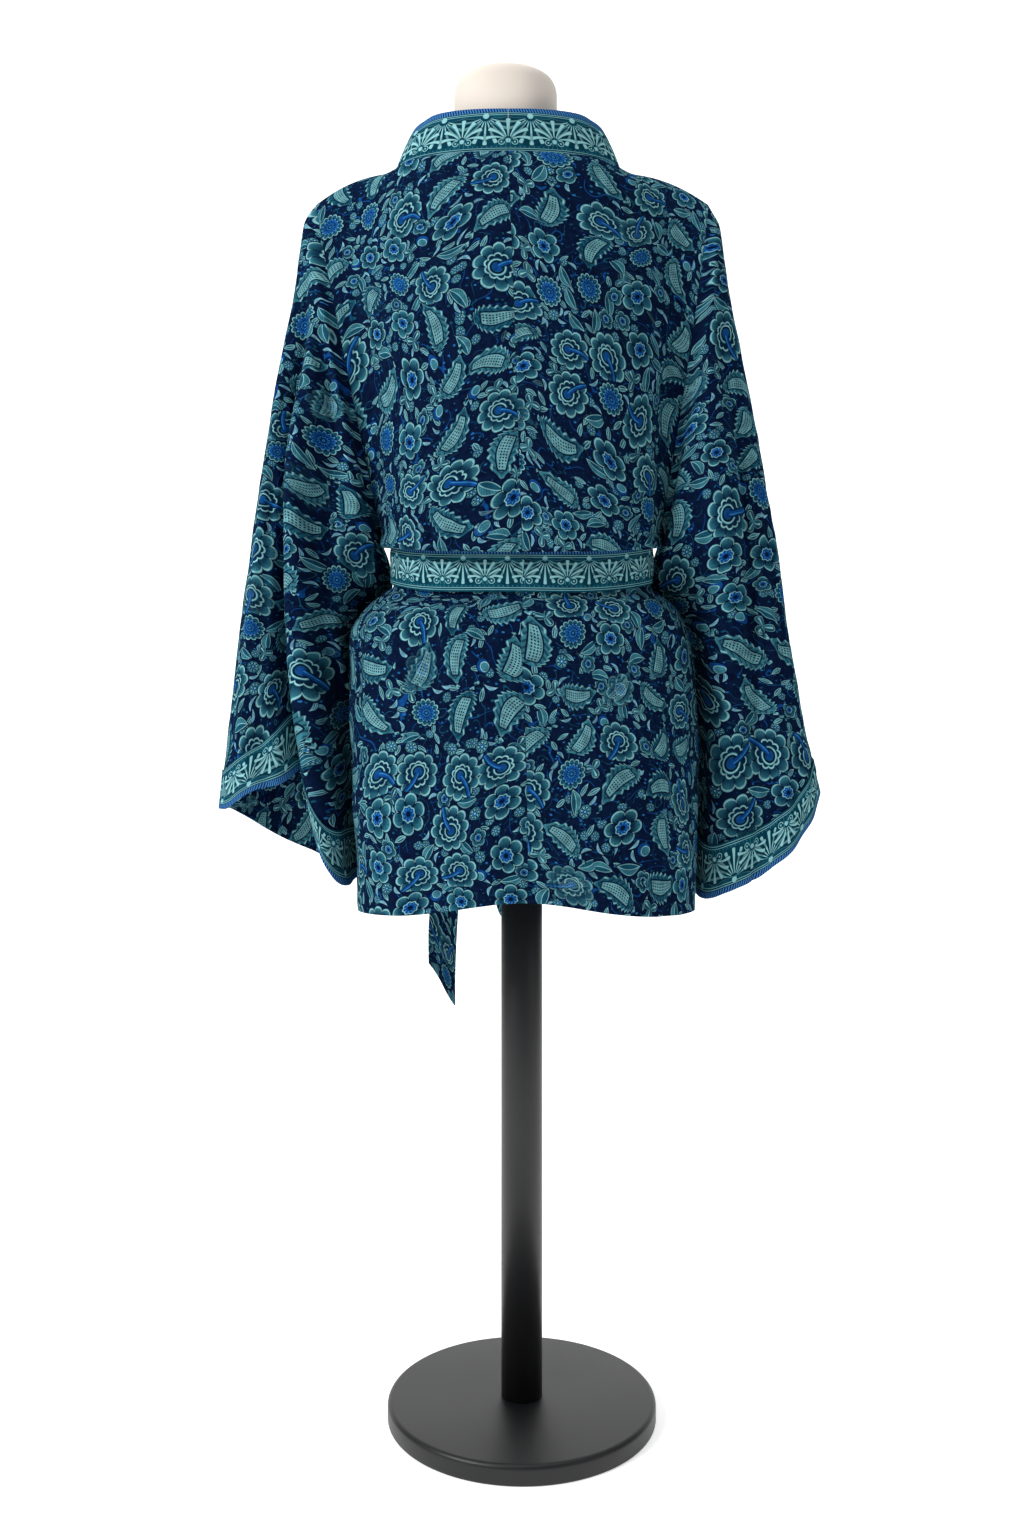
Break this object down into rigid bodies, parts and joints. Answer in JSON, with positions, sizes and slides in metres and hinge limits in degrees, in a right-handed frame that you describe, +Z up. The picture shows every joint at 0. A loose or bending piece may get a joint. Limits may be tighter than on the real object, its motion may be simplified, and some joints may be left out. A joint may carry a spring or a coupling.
{
  "type": "kimono jacket on dress form stand",
  "caption": "Open-front kimono jacket with wide sleeves, band collar and tied cloth belt, worn by a limbless dress form on a pole stand with a round base.",
  "frame": {"origin": "centre of the round base's underside, on the pole's axis", "axes": "+Z up along the pole; the jacket's front faces +Y and its back faces -Y, so the wearer's right is +X"},
  "size_m": [0.632, 0.3121, 1.397],
  "materials": {
    "print_cloth": "soft silky weave, dark navy ground with teal, mint and blue flower and leaf print",
    "border_cloth": "soft silky weave, teal ground with light mint fan ornaments, lines and a blue edge stripe",
    "form_jersey": "smooth matte jersey cover, warm cream",
    "stand_coat": "matte charcoal-black coating"
  },
  "bodies": {
    "root": {"back_left": "print_cloth", "back_right": "print_cloth", "front_left": "print_cloth", "front_right": "print_cloth", "sleeve_left": "print_cloth", "sleeve_right": "print_cloth", "cuff_left": "border_cloth", "cuff_right": "border_cloth", "neckband_left": "border_cloth", "neckband_right": "border_cloth", "belt": "border_cloth", "belt_knot": "border_cloth", "belt_tail_left": "print_cloth", "belt_tail_right": "print_cloth", "form": "form_jersey", "pole": "stand_coat", "base": "stand_coat"}
  },
  "joints": []
}
